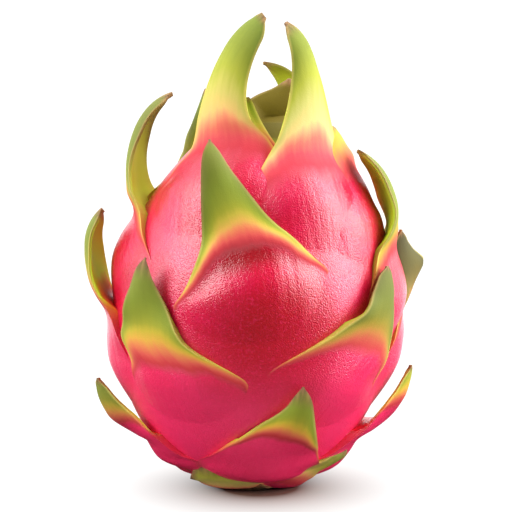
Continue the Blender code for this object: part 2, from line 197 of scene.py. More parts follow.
scaleTable = {
    "a1": ((-24, 5, 36, 10, (26, -1, 9.5), -5, 20, 1.0, 0.53, 0.10, 3.5, 2.0, 0, 0),
           (-4, 2, 0.8, 0.8, 4.5, 0, 0.0)),
    "a2": ((52, 5, 34, 12, (30, 7.5, 12.0), -5, -5, 1.0, 0.50, 0.60, 3.5, 2.2, 0, 0),
           (-1, 2, 0.8, 0.5, 3.0, 0, 0.0)),
    "a6": ((-8, 2, 26, 8, (21, -1, 3.2), 10, 60, 1.0, 0.52, 0.15, 3.5, 1.5, 0, 0),
           (-7, 0, 0.6, -1.0, 15.0, 0, 0.0)),
    "a3": ((124, 6, 28, 11, (29, 0, 11.0), 5, 20, 1.0, 0.55, 0.60, 3.5, 2.2, 0, 0),
           (0, 3, 0.6, 0.2, 1.5, 0, 0.3)),
    "a4": ((196, 5, 28, 11, (27, 2, 9.5), 5, 30, 1.0, 0.55, 0.60, 3.5, 2.2, 0, 0),
           (0, 3, 0.6, 0.2, 1.5, 0, 0.3)),
    "a5": ((268, 6, 28, 9, (28, -3, 9.0), 5, 15, 1.0, 0.55, 0.60, 3.5, 1.2, 0, 0),
           (0, 3, 0.6, 0.2, 1.5, 0, 0.3)),
    "b1": ((-75.2, 14.7, 39.7, 16, (47.2, -0.1, 32.8), 28, 4, 1, 0.64, 0.54, 3.7, 2.6, 17, 0),
           (13, 4, 0.8, -0.4, 2.0, 0, 0.3)),
    "b2": ((12.3, 14.5, 40.5, 19.9, (45.9, 4.4, 36.8), 3, -20, 1.56, 0.5, 0.56, 2.3, 3.2, -19, -0.4),
           (12.5, 10, 0.8, 0.0, 5.0, 0, 0.0)),
    "b3": ((82.4, 15.1, 39.3, 24, (47.3, 0.3, 35.5), 30, 1, 1, 0.61, 0.55, 3.7, 3.3, -14, 0),
           (18, 4, 0.8, 0.0, 2.0, 0, 0.3)),
    "b4": ((147, 16, 40, 24, (46, -3, 36.0), 12, 20, 1.0, 0.60, 0.62, 3.5, 3.0, 0, 0),
           (3, 7, 0.9, 0.2, 2.0, 0, 0.3)),
    "b5": ((-147, 15, 40, 24, (46, 3, 35.0), 12, 20, 1.0, 0.60, 0.62, 3.5, 3.0, 0, 0),
           (3, 7, 0.9, 0.2, 2.0, 0, 0.3)),
    "c1": ((-44.5, 49.7, 41.9, 31.6, (45.2, 0, 72), 2, -28, 1, 0.63, 0.77, 2.7, 3.6, 15, 8.8),
           (-4, 8, 1.0, -0.1, 5.0, 0, 0.0)),
    "c2": ((50.5, 47.9, 42, 31.9, (43.9, 6.1, 68), 17, -25, 1.48, 0.62, 0.49, 3.3, 3.7, 9, -6.5),
           (0.5, 9, 0.85, -0.5, 1.5, 0, 0.0)),
    "c3": ((97.2, 53.9, 47.4, 39.9, (42.6, -4.1, 74.8), 62, 2, 1.05, 0.57, 0.63, 1.9, 4.2, -51, 0.5),
           (3, 9, 1.0, -1.0, 2.0, 0, 0.3)),
    "c4": ((178, 48, 43, 32, (48, 5, 74.0), 10, -10, 1.0, 0.60, 0.62, 3.5, 3.5, 0, 0),
           (3, 12, 1.0, 0.1, 2.5, 0, 0.3)),
    "c5": ((-90.5, 50.1, 41.2, 32, (46.4, -2.2, 81.3), 26, -48, 0.85, 0.66, 0.21, 3.7, 2.9, -7, 0),
           (11, 6, 1.2, -0.3, 3.0, 1, 0.3)),
    "d1": ((-7.8, 76.4, 45.9, 33.4, (38.8, -9.1, 106.2), -7, -36, 1.31, 0.52, 0.63, 4.5, 3.8, 24, -0.3),
           (2.5, 15, 1.0, 0.2, 1.5, 0, 1.0)),
    "d2": ((81.8, 69.9, 47.9, 31.8, (29.6, -5.1, 100), 25, -65, 0.15, 0.7, 0.51, 3.1, 3.3, 18, 0),
           (4, 10, 1.1, -0.2, 2.5, 1, 0.3)),
    "d3": ((148, 75, 44, 32, (38, 4, 106.0), 18, -20, 1.0, 0.58, 0.60, 3.5, 3.8, 0, 0),
           (4, 12, 1.1, 0.2, 2.5, 0, 0.3)),
    "d4": ((-148, 77, 44, 32, (38, -4, 107.0), 18, -20, 1.0, 0.58, 0.60, 3.5, 3.8, 0, 0),
           (4, 12, 1.1, 0.2, 2.5, 0, 0.3)),
    "d5": ((-97.6, 79.5, 54, 31.3, (27.2, -4.4, 115.2), 52, -74, 0.39, 0.44, 0.29, 2.8, 2.9, -2, 5.8),
           (5, 10, 1.1, -0.3, 4.0, 0, 0.3)),
    "e1": ((-34.9, 101, 48.1, 34.1, (14.7, 10, 139.8), 36, -36, -1.06, 0.4, 0.21, 5, 4, -11, -1.2),
           (5.5, 8, 2.2, 0.7, 2.0, 0, 0.3)),
    "e2": ((40.8, 97.6, 44.6, 33.8, (16.6, -5.9, 137.6), 25, -49, -0.55, 0.38, 0.36, 2.9, 4.2, 3, -1.7),
           (5, 12, 2.4, 1.0, 4.0, 0, 0.3)),
    "e3": ((73.3, 91.4, 41.5, 32.1, (21.5, 0.9, 106.4), 6, -41, 1.16, 0.54, 0.36, 3.5, 3.7, -11, -7),
           (6, 4, 1.5, 0.0, 2.0, 0, 0.0)),
    "e4": ((143.2, 93.1, 43.6, 32, (15.1, 10.7, 123.2), 15, -77, -0.09, 0.41, 0.44, 3.6, 4.1, 5, 0),
           (8, 8, 1.5, 0.3, 3.0, 0, 0.3)),
    "e5": ((-126.5, 86.3, 43.9, 32, (17.1, 4.9, 116.1), 6, -24, 1.46, 0.48, 0.46, 3.3, 2.1, 51, -0.1),
           (3, 8, 1.5, 0.8, 2.0, 1, 0.3)),
    "e6": ((-157, 95, 44, 32, (14, 4, 118.5), 0, -40, 0.8, 0.45, 0.45, 3.5, 4.0, 0, 0),
           (8, 8, 1.5, 0.5, 2.0, 0, 0.3)),
    "f1": ((12.8, 98.1, 8.6, 8, (10.4, -6.4, 115.4), 9, 4, 0.95, 0.36, 0.12, 5.6, 1.5, 4, 0),
           (7, 2, 1.2, 0.0, 1.5, 0, 0.0)),
    "f2": ((173.7, 106.8, 25.7, 10, (10.4, -7, 119), 15, -12, 2.11, 0.74, 0.56, 3.3, 1.6, 1, 0),
           (-20, 0, 0.8, -1.0, 2.0, 0, 0.3)),
    "f3": ((80, 105, 14, 10, (9, 0, 116.0), 40, -10, 1.0, 0.45, 0.50, 3.5, 2.0, 0, 0),
           (-4, 0, 0.8, 0.3, 2.0, 0, 0.3)),
    "f4": ((-95, 105, 14, 10, (9, 0, 116.0), 40, -10, 1.0, 0.45, 0.50, 3.5, 2.0, 0, 0),
           (-4, 0, 0.8, 0.3, 2.0, 0, 0.3)),
}
scaleShape = dict(
    rootDepth=5.0, backShare=0.82,  # how deep a pad's back lies, and its width against the front
    shoulder=0.4, neck=0.75, climb=1.5,  # where a pad is widest, its bulge left at the axil, its rise
    marginLift=2.2, marginSink=0.5, flatness=2.2, sharpness=0.7, joining=0.2,
    marginThickness=0.8, middleThickness=3.4, thinning=1.8, rounding=2.5,
    pointThickness=0.45, thickening=4.0,  # thinner where half the width is under 2.2
    straightArc=0.57, fullArc=1.65, leastArc=6.0, curlIn=1.6, twistIn=2.2,
    startHandle=0.38, endHandle=0.36, pointShare=0.1, nearlyOne=0.95,
    largeGrid=(30, 24, 40), smallGrid=(16, 12, 22), smallWidth=34.0, ribSteps=120, towardsPoint=0.9,
)
ripeLine = dict(
    archPower=4, sway=0.3, swayCount=4, swayPull=(0.15, 0.6),  # the line runs down the margins, and wavers
    ridge=0.35, ridgeSpread=6, crease=0.55, creasePlace=7, creaseSpread=20, fullArch=12, palest=0.5,
    withering=1.5,
)


def cubic(p0, p1, p2, p3, x):
    # Bezier curve from p0 to p3
    x = x[:, None]
    y = 1.0 - x
    return p0 * y**3 + 3 * p1 * y**2 * x + 3 * p2 * y * x**2 + p3 * x**3


def midrib(one):
    # a cubic from the axil, tangent to the skin turned out by leave, to the point, evenly spaced
    slope = float(bodySlope(one["axil"]))
    out, up = 1 / math.hypot(1, slope), -slope / math.hypot(1, slope)
    neck = scaleShape["neck"] * one["bulge"]
    start = np.array([float(bodyRadius(one["axil"])) + out * neck, 0.0, one["axil"] + up * neck])
    end = np.array(one["tip"], float)
    reach = np.linalg.norm(end - start)
    leave = math.atan(slope) + math.radians(one["leave"])
    arrive = math.radians(one["arrive"])
    lean = end[1] / reach
    first = np.array([math.sin(leave), lean * one["sway"], math.cos(leave)])
    last = np.array([math.sin(arrive), lean * (2 - one["sway"]), math.cos(arrive)])
    first /= np.linalg.norm(first)
    last /= np.linalg.norm(last)
    steps = np.linspace(0, 1, scaleShape["ribSteps"])
    handles = start + first * reach * scaleShape["startHandle"], end - last * reach * scaleShape["endHandle"]
    curve = cubic(start, *handles, end, steps)
    lengths = np.concatenate([[0.0], np.cumsum(np.linalg.norm(np.diff(curve, axis=0), axis=1))])
    curve = np.stack([np.interp(lengths[-1] * steps, lengths, curve[:, k]) for k in range(3)], axis=1)
    return curve, lengths[-1], first


def halfWidth(one, along, free):
    # half the width x (full x t^blunt + (1 - full) x t^flare), where t is the distance from the point, with
    # the point and the pad's foot rounded off as ellipses
    shoulder = scaleShape["shoulder"] * one["pad"]
    t = np.clip((free - along) / (free + shoulder), 0.01, 1.0)
    point = np.sqrt(1 - np.clip(1 - t / scaleShape["pointShare"], 0.0, scaleShape["nearlyOne"]) ** 2)
    below = np.clip((-along - shoulder) / (one["pad"] - shoulder), 0.0, scaleShape["nearlyOne"])
    outline = one["full"] * t ** one["blunt"] + (1 - one["full"]) * t ** one["flare"]
    return 0.5 * one["width"] * outline * point * np.sqrt(1 - below**2)


def padFaces(one, along, side, half, free):
    # the skin raised by edge + (bulge x rise - sunk - edge) x (1 - |side|^2.2), where sunk fades as the pad
    # rises and the power grows below the shoulder, over the skin sunk by the root depth
    s = scaleShape
    shoulder = s["shoulder"] * one["pad"]
    climb = 1 + along / one["pad"]
    rise = smooth(s["climb"] * climb) * (1 - (1 - s["neck"]) * smooth(2 * climb - 1))
    edge = s["marginSink"] * (smooth((along + one["pad"]) / (one["pad"] - shoulder)) - 1)
    edge = edge + s["marginLift"] * smooth((along + shoulder) / shoulder)
    across = (1 - np.abs(side) ** s["flatness"]) ** (1 + s["sharpness"] * smooth(-along / shoulder))
    lift = edge + (one["bulge"] * rise - s["marginSink"] * (1 - rise) - edge) * across
    lean = one["sway"] * one["tip"][1] / free
    shift = lean * (along + np.minimum(along, 0) ** 2 / (2 * one["pad"]))
    shift = shift + one["drift"] * smooth(-along / shoulder)
    height = upTheBody(one["axil"], along - lean * np.clip(climb, 0, 1) * side * half)
    radius = np.maximum(bodyRadius(height), s["leastArc"])
    slope = bodySlope(height)
    out, up = 1 / np.hypot(1, slope), -slope / np.hypot(1, slope)

    def onSkin(sideways, raised):
        angle = sideways / radius
        r = radius + out * raised
        return np.stack([r * np.cos(angle), r * np.sin(angle), height + up * raised], axis=-1)

    front = onSkin(side * half + shift, lift)
    back = onSkin(s["backShare"] * side * half + shift, -s["rootDepth"] + 0 * lift)
    return front, back


def tipFaces(one, along, side, half, rib):
    # arcs carried along the midrib, thickest in the middle; their radius turns from the body's to
    # (0.57 + 1.65 x full) x half the width
    s = scaleShape
    curve, free, first = rib
    steps = np.linspace(0, 1, s["ribSteps"])
    share = np.clip(along[:, 0] / free, 0, 1)
    centre = np.stack([np.interp(share, steps, curve[:, k]) for k in range(3)], axis=1)
    centre = centre + np.minimum(along, 0) * first
    forward = np.stack([np.interp(share, steps, np.gradient(curve[:, k])) for k in range(3)], axis=1)
    forward /= np.linalg.norm(forward, axis=1, keepdims=True)
    sideways = np.array([0.0, 1.0, 0.0]) - forward * forward[:, 1:2]
    sideways /= np.linalg.norm(sideways, axis=1, keepdims=True)
    outward = np.cross(sideways, forward)
    turn = math.radians(one["twist"]) * smooth(share * s["twistIn"])[:, None]
    outward, sideways = (outward * np.cos(turn) + sideways * np.sin(turn),
                         sideways * np.cos(turn) - outward * np.sin(turn))
    bend = smooth(share * s["curlIn"])[:, None]
    skinArc = float(bodyRadius(one["axil"])) + s["neck"] * one["bulge"]
    ownArc = np.maximum((s["straightArc"] + s["fullArc"] * one["full"]) * half, s["leastArc"])
    arc = (1 - bend) * skinArc + bend * ownArc
    angle = side * half / arc
    normal = outward[:, None] * np.cos(angle)[..., None] + sideways[:, None] * np.sin(angle)[..., None]
    outer = centre[:, None] + (normal - outward[:, None]) * arc[..., None]
    middle = s["middleThickness"] - s["thinning"] * share[:, None]
    thick = s["marginThickness"] + (middle - s["marginThickness"]) * (1 - np.abs(side) ** s["rounding"])
    thick = thick * np.minimum(1, s["pointThickness"] + half / s["thickening"])
    return outer, outer - normal * thick[..., None]


def makeScale(name, number, shape, look):
    # a closed scale: its outer and inner grids joined round their rim, pad and tip blended over the axil
    one = dict(zip(shapeFields, shape), **dict(zip(lookFields, look)))
    grid = "smallGrid" if one["width"] < scaleShape["smallWidth"] else "largeGrid"
    across, alongPad, alongTip = scaleShape[grid]
    rib = midrib(one)
    free = rib[1]
    along = np.concatenate([
        np.linspace(-one["pad"], 0, alongPad, endpoint=False),
        free * np.linspace(0, 1, alongTip + 1) ** scaleShape["towardsPoint"],
    ])[:, None]
    side = np.sin(0.5 * math.pi * np.linspace(-1, 1, across + 1))[None, :]
    half = halfWidth(one, along, free)
    joining = scaleShape["joining"] * one["pad"]
    blend = smooth((along + joining) / (2 * joining))[..., None]
    pad, tip = padFaces(one, along, side, half, free), tipFaces(one, along, side, half, rib)
    turn = math.radians(one["azimuth"])
    toFruit = np.array([
        [math.sin(turn), math.cos(turn), body["lean"]],
        [-math.cos(turn), math.sin(turn), 0.0],
        [0.0, 0.0, 1.0],
    ])
    outer, inner = [((1 - blend) * pad[k] + blend * tip[k]) @ toFruit.T * mm for k in range(2)]
    # where it turns green: flat across the middle, and running down along the margins
    line = one["green"] - one["arch"] * np.abs(side) ** ripeLine["archPower"]
    sway = waves(number, ripeLine["swayCount"], *ripeLine["swayPull"], side * half, along)
    line = line + ripeLine["sway"] * sway
    ripe = (along - line) / one["spread"]
    # the orange band under that line is a low ridge, and the red pad domes up from a crease below it:
    # ridge x e^-r^2/6 - crease x e^-(r + 7)^2/20, fading to the margins, and none on the palest scales
    crease = ripeLine["crease"] * one["crease"]
    height = ripeLine["ridge"] * np.exp(-ripe**2 / ripeLine["ridgeSpread"])
    height = height - crease * np.exp(-(ripe + ripeLine["creasePlace"]) ** 2 / ripeLine["creaseSpread"])
    height = height * min(one["arch"], ripeLine["fullArch"]) / ripeLine["fullArch"]
    height = height * (1 - side**ripeLine["archPower"]) * (one["pale"] < ripeLine["palest"]) * mm
    through = outer - inner
    outer = outer + through / np.linalg.norm(through, axis=-1, keepdims=True) * height[..., None]
    rows, columns = outer.shape[:2]
    count = rows * columns
    front = gridQuads(rows, columns)
    back = gridQuads(rows, columns, count)[:, ::-1]
    index = np.arange(count).reshape(rows, columns)
    loop = np.concatenate([index[0, :-1], index[:-1, -1], index[-1, :0:-1], index[:0:-1, 0]])
    after = np.roll(loop, -1)
    rim = np.stack([after, loop, loop + count, after + count], axis=-1)

    withered = 1 - smooth((free - along) / one["dry"] / ripeLine["withering"])
    values = {
        "ripe": ripe, "margin": half * (1 - np.abs(side)), "rib": side * half, "along": along,
        "withered": withered, "pale": one["pale"], "paintedLitInner": one["paintedLitInner"], "crease": one["crease"],
    }
    spread = {key: np.broadcast_to(value, (rows, columns)).ravel() for key, value in values.items()}
    marks = {key: np.tile(value, 2) for key, value in spread.items()}
    marks["inside"] = np.repeat([0.0, 1.0], count)
    points = np.concatenate([outer.reshape(-1, 3), inner.reshape(-1, 3)])
    points = np.clip(points, cadLow, cadHigh)  # the finer margins stay in the CAD's box
    return meshFrom("scale_" + name, points, [front, back, rim], marks)


def turnedSolid(name, profile, sides, centre=(0.0, 0.0)):
    # a closed solid of revolution: rings of (radius, height) from top to bottom, with a fan at each end
    profile = np.asarray(profile, float)
    angle = np.linspace(0, 2 * math.pi, sides, endpoint=False)[None, :]
    r, z = profile[1:-1, :1], profile[1:-1, 1:]
    ring = np.stack([r * np.cos(angle) + centre[0], r * np.sin(angle) + centre[1], z + 0 * angle], axis=-1)
    poles = np.array([[*centre, profile[0, 1]], [*centre, profile[-1, 1]]])
    points = np.concatenate([ring.reshape(-1, 3), poles]) * mm
    rows = len(profile) - 2
    walls = gridQuads(rows, sides, wrap=True)[:, ::-1]
    j = np.arange(sides)
    k = (j + 1) % sides
    last = (rows - 1) * sides
    top = np.stack([j, k, 0 * j + rows * sides], axis=-1)
    foot = np.stack([last + k, last + j, 0 * j + rows * sides + 1], axis=-1)
    return meshFrom(name, points, [walls, top, foot])


def bodyProfile():
    # down the outside at even steps along the skin, from the navel's floor to the flat base
    rim = float(bodyRadius(body["navel"]))
    floor = body["navel"] - body["navelDepth"]
    pit = [(0.0, floor), (rim * 0.25, floor), (rim * 0.4, floor + 0.2), (rim * 0.75, body["navel"] - 1)]
    base, top = np.interp([0.0, body["navel"]], skinHeights, skinLengths)
    heights = np.interp(top + (base - top) * np.linspace(0, 1, body["rings"]), skinLengths, skinHeights)
    heights[-1] = 0.0
    return pit + list(zip(bodyRadius(heights), heights)) + [(0.0, 0.0)]


stub = dict(place=(7.5, -8.5), radius=5.5, height=7.0, gap=0.3, sides=64)  # and the pocket round it
cutter = dict(radius=70.0, reach=30.0, sides=12)  # wider and deeper than the fruit's foot
bare = dict(  # the marks of the skin between the scales
    ripe=-30.0, margin=10.0, rib=0.0, along=-20.0, withered=0.0, pale=0.0, paintedLitInner=0.0, crease=0.0, inside=0.0,
)
cupRipe = 26.0  # and of the navel's cup
sharpAngle = 50.0


def makeSkin():
    # the body and its scales in one closed skin, cut flat underneath and hollowed for the stem
    scene = bpy.context.scene.collection
    skin = turnedSolid("fruit_skin", bodyProfile(), body["sides"])
    skin.data.transform(Matrix(((1, 0, body["lean"], 0), (0, 1, 0, 0), (0, 0, 1, 0), (0, 0, 0, 1))))
    for key, value in bare.items():
        layer = skin.data.attributes.new(key, "FLOAT", "CORNER")
        layer.data.foreach_set("value", np.full(len(skin.data.loops), value, np.float32))
    # the navel's cup is olive, as the inner faces of the scales are
    corners = np.empty(len(skin.data.loops), np.int32)
    skin.data.loops.foreach_get("vertex_index", corners)
    places = np.empty(len(skin.data.vertices) * 3, np.float32)
    skin.data.vertices.foreach_get("co", places)
    height = places[2::3][corners] / mm
    cup = smooth((height - body["navel"] + body["oliveBelow"]) / body["oliveOver"])
    skin.data.attributes["inside"].data.foreach_set("value", cup)
    skin.data.attributes["ripe"].data.foreach_set("value", bare["ripe"] + (cupRipe - bare["ripe"]) * cup)
    scene.objects.link(skin)
    scales = bpy.data.collections.new("scales")
    scene.children.link(scales)
    for number, (name, (shape, look)) in enumerate(scaleTable.items()):
        scales.objects.link(makeScale(name, number, shape, look))
    cutOrJoin(skin, "UNION", operand_type="COLLECTION", collection=scales)
    for one in list(scales.objects):
        bpy.data.objects.remove(one, do_unlink=True)
    bpy.data.collections.remove(scales)
    far, deep = cutter["radius"], -cutter["reach"]
    slab = turnedSolid("slab", [(0, 0), (far, 0), (far, deep), (0, deep)], cutter["sides"])
    wide, roof = stub["radius"] + stub["gap"], stub["height"] + stub["gap"]
    pocketSide = [(0, roof), (wide, roof), (wide, deep), (0, deep)]
    pocket = turnedSolid("pocket", pocketSide, stub["sides"], stub["place"])
    for tool in (slab, pocket):
        scene.objects.link(tool)
        cutOrJoin(skin, "DIFFERENCE", object=tool)
        bpy.data.objects.remove(tool, do_unlink=True)
    skin.data.shade_smooth()
    skin.data.set_sharp_from_angle(angle=math.radians(sharpAngle))
    return skin


fruitSkin = makeSkin()
print("skin:", sum(len(p.vertices) - 2 for p in fruitSkin.data.polygons), "triangles")


# Materials
def addNode(material, kind, inputs=None, **settings):
    # one node with its settings; inputs are values, or sockets to link from
    tree = material.node_tree
    node = tree.nodes.new(kind)
    for key, value in settings.items():
        setattr(node, key, value)
    for key, value in (inputs or {}).items():
        if isinstance(value, bpy.types.NodeSocket):
            tree.links.new(value, node.inputs[key])
        else:
            node.inputs[key].default_value = value
    return node


def setRamp(node, stops):
    ramp = node.color_ramp
    while len(ramp.elements) > 1:
        ramp.elements.remove(ramp.elements[-1])
    for number, (place, colour) in enumerate(stops):
        one = ramp.elements[0] if number == 0 else ramp.elements.new(place)
        one.position = place
        one.color = linear(colour)
    return node


def newMaterial(name, **sockets):
    material = bpy.data.materials.new(name)
    material.use_nodes = True
    shader = material.node_tree.nodes["Principled BSDF"]
    for key, value in sockets.items():
        shader.inputs[key].default_value = value
    return material, shader


rindLook = dict(
    roughness=0.30, greenRoughness=0.8, ior=1.58, specular=0.9,
    bump=0.8, greenBump=0.22, bumpDistance=0.0003,
    grain=0.34, grainDepth=0.5, pore=1.0, poreDepth=0.35, wrinkleDepth=0.3, creaseDepth=1.6,
    cloud=14.0, speck=1.4, fibre=1.3, fibreStretch=9.0, streak=5.0, faceShift=0.05,  # widths of the blotches
    streakSway=2.5, fibreSway=1.2, fibreShade=0.25,  # how far they shift the line of orange, and darken
    ripeSpan=(-8, 26), innerSpan=(-14, 26),  # from the line of orange
    # where the lowest pads start to take the painted floor light, and how much
    floorLightHeights=(0.054, 0.030), floorLightShare=0.85,
    # the painted shade in the middle of the front pad: its centre, reach and share
    paintedShadePlace=(0.005, -0.044, 0.051), paintedShadeReach=(0.026, 0.008), paintedShadeShare=0.8,
    # size and share of the painted glints, then of the margin lining and the dry foot
    paintedGlint=0.7, paintedGlintShare=0.24, liningShare=0.75, dryHeights=(0.011, 0.007), dryness=0.4,
)


def rindMaterial():
    # Pitaya rind: thick and waxed, with a fine leathery grain that breaks up its gloss.  The eye sees crimson
    # pads that turn through orange and yellow to green in the tips, fine yellow margins and withered points.
    material, shader = newMaterial("pitaya_rind", **{
        "Roughness": rindLook["roughness"], "IOR": rindLook["ior"],
        "Specular IOR Level": rindLook["specular"],
    })
    place = addNode(material, "ShaderNodeTexCoord").outputs["Object"]

    def mark(key):
        return addNode(material, "ShaderNodeAttribute", attribute_name=key).outputs["Fac"]

    def sums(operation, *values):
        return addNode(material, "ShaderNodeMath", dict(enumerate(values)), operation=operation).outputs[0]

    def ramp(value, low, high, *stops):
        # a colour ramp over a span of values
        spread = sums("MULTIPLY_ADD", value, 1 / (high - low), -low / (high - low))
        node = addNode(material, "ShaderNodeValToRGB", {"Fac": spread})
        return setRamp(node, [((at - low) / (high - low), colour) for at, colour in stops]).outputs["Color"]

    def blend(factor, first, second, kind="MIX"):
        return addNode(material, "ShaderNodeMix", {0: factor, 6: first, 7: second}, data_type="RGBA",
                       blend_type=kind).outputs[2]

    def noise(size, detail=3.0, at=place):
        # size is the width of a blotch in millimetres
        settings = {"Vector": at, "Scale": 1000 / size, "Detail": detail}
        return addNode(material, "ShaderNodeTexNoise", settings).outputs[0]

    # the blade's own coordinates, across and along, in metres; drawn out along the blade for its fibres
    blade = addNode(material, "ShaderNodeCombineXYZ", {
        0: sums("MULTIPLY", mark("rib"), mm),
        1: sums("MULTIPLY", mark("along"), mm / rindLook["fibreStretch"]),
        2: sums("MULTIPLY", mark("inside"), rindLook["faceShift"]),
    }).outputs[0]
    cloud, speck = noise(rindLook["cloud"]), noise(rindLook["speck"])
    fibre, streak = noise(rindLook["fibre"], 3.0, blade), noise(rindLook["streak"], 2.0, blade)

    red = ramp(cloud, 0.3, 0.7, (0.34, "#C80336"), (0.48, "#D20542"), (0.64, "#DC0B52"))
    # painted light: the lowest pads are painted paler and pinker, standing in for light thrown up by the
    # floor
    height = addNode(material, "ShaderNodeSeparateXYZ", {0: place}).outputs["Z"]
    high, foot = rindLook["floorLightHeights"]
    low = addNode(material, "ShaderNodeMapRange", {
        "Value": height, "From Min": high, "From Max": foot, "To Max": rindLook["floorLightShare"]}).outputs[0]
    red = blend(low, red, linear("#F83C72"))
    # painted shade: the middle of the front pad, which the side lights barely reach, is painted a deeper red
    away = addNode(material, "ShaderNodeVectorMath", {0: place, 1: rindLook["paintedShadePlace"]},
                   operation="DISTANCE").outputs["Value"]
    far, near = rindLook["paintedShadeReach"]
    deep = addNode(material, "ShaderNodeMapRange", {
        "Value": away, "From Min": far, "From Max": near, "To Max": rindLook["paintedShadeShare"]}).outputs[0]
    red = blend(deep, red, linear("#BC0016"))
    # painted highlights: small pale pink specks over the red stand in for glints off the waxy grain
    paintedGlint = ramp(noise(rindLook["paintedGlint"], 2.0), 0.3, 0.8, (0.52, "#000000"), (0.68, "#FFFFFF"))
    red = blend(sums("MULTIPLY", paintedGlint, rindLook["paintedGlintShare"]), red, linear("#FF3C84"))
    # ripe is in millimetres above the line of orange, which the streaks and fibres shift up and down
    ripe = sums("ADD", mark("ripe"), sums("MULTIPLY", sums("SUBTRACT", streak, 0.5), rindLook["streakSway"]))
    ripe = sums("ADD", ripe, sums("MULTIPLY", sums("SUBTRACT", fibre, 0.5), rindLook["fibreSway"]))
    span = rindLook["ripeSpan"]
    # the small dip to a darker red at -4.4 is painted shade under the orange band
    plain = ramp(ripe, *span, (-7, "#C8062E"), (-4.4, "#C00824"), (-2.8, "#CC2430"), (-1.4, "#D84E42"),
                 (0.6, "#DE7E42"), (2.6, "#DCA830"), (4.9, "#C8B41C"), (7.2, "#A6A80A"), (10, "#94A008"),
                 (14, "#8A9A0A"), (19, "#869414"), (24, "#88922A"))
    light = ramp(ripe, *span, (-6, "#D00834"), (-3.6, "#D0183C"), (-2.0, "#DC3C4E"), (-0.5, "#EA7262"),
                 (0.8, "#F4A878"), (1.8, "#E8CC80"), (4.0, "#CCC86E"), (7.5, "#B0B628"), (11, "#8A9606"),
                 (15, "#738404"), (20, "#646C06"), (24, "#625F0C"))
    olive = ramp(ripe, *span, (-6, "#D01838"), (-3.6, "#CC3838"), (-1.6, "#C86438"), (0.6, "#B07A20"),
                 (3.0, "#7E6904"), (8, "#645B02"), (14, "#544E02"), (24, "#463C04"))
    # pale takes the tip from plain to light, and below 0 to olive
    pale = sums("MAXIMUM", mark("pale"), 0.0)
    tip = blend(pale, plain, light)
    tip = blend(sums("SUBTRACT", pale, mark("pale")), tip, olive)
    tip = blend(sums("MULTIPLY", fibre, rindLook["fibreShade"]), tip, linear("#DCDC70"), "MULTIPLY")
    greenness = ramp(ripe, *span, (-6, "#000000"), (-3.4, "#FFFFFF"))
    colour = blend(greenness, red, tip)
    # painted shade: a darker red in the crease under the orange band, away from the margins
    shade = ramp(ripe, -16, 0, (-12, "#000000"), (-8, "#FFFFFF"), (-4.5, "#FFFFFF"), (-1.5, "#000000"))
    middle = ramp(mark("margin"), 0, 14, (2, "#000000"), (10, "#FFFFFF"))
    paintedCreaseShade = sums("MULTIPLY", mark("crease"), sums("MULTIPLY", shade, middle))
    colour = blend(paintedCreaseShade, colour, linear("#A2041C"))
    # a thin pale line along each margin, from the tip down to where the margin sinks in
    near = ramp(mark("margin"), 0, 2, (0.25, "#FFFFFF"), (0.9, "#000000"))
    raised = ramp(mark("along"), -20, 10, (-16, "#000000"), (-9, "#FFFFFF"))
    lining = ramp(ripe, *span, (-7, "#E04058"), (-2, "#E8904C"), (4, "#E4D060"), (14, "#C0B458"),
                  (24, "#9A8040"))
    thin = sums("MULTIPLY", sums("MULTIPLY", near, raised), rindLook["liningShare"])
    colour = blend(thin, colour, lining)
    # inner faces are yellow and olive over a rusty red root; on a few scales they are painted a brighter
    # yellow green, a painted stand-in for light reaching them
    span = rindLook["innerSpan"]
    inner = ramp(ripe, *span, (-13, "#D81028"), (-10, "#D03818"), (-7.5, "#CC8004"), (-5, "#CCC400"),
                 (0, "#C4D800"), (13, "#B0BC00"), (25, "#7E6C00"))
    paintedLitInner = ramp(ripe, *span, (-9, "#D81028"), (-5, "#E8481C"), (-2, "#E8A000"), (1, "#CCFF00"),
                (25, "#B0D000"))
    inner = blend(mark("paintedLitInner"), inner, paintedLitInner)
    colour = blend(mark("inside"), colour, inner)
    # withered points, and dry brown edges on the flaps at the foot
    high, foot = rindLook["dryHeights"]
    foot = addNode(material, "ShaderNodeMapRange", {
        "Value": height, "From Min": high, "From Max": foot}).outputs[0]
    edge = ramp(mark("margin"), 0, 6, (0.8, "#FFFFFF"), (3.4, "#000000"))
    dryness = sums("MAXIMUM", mark("withered"), sums("MULTIPLY", foot, edge))
    dryness = sums("MULTIPLY", dryness, sums("ADD", speck, rindLook["dryness"]))
    dryness.node.use_clamp = True
    colour = blend(dryness, colour, ramp(fibre, 0.3, 0.7, (0.4, "#6A4424"), (0.62, "#A8794C")))
    material.node_tree.links.new(colour, shader.inputs["Base Color"])

    gloss = addNode(material, "ShaderNodeMapRange", {
        "Value": greenness, "To Min": rindLook["roughness"], "To Max": rindLook["greenRoughness"]}).outputs[0]
    material.node_tree.links.new(gloss, shader.inputs["Roughness"])

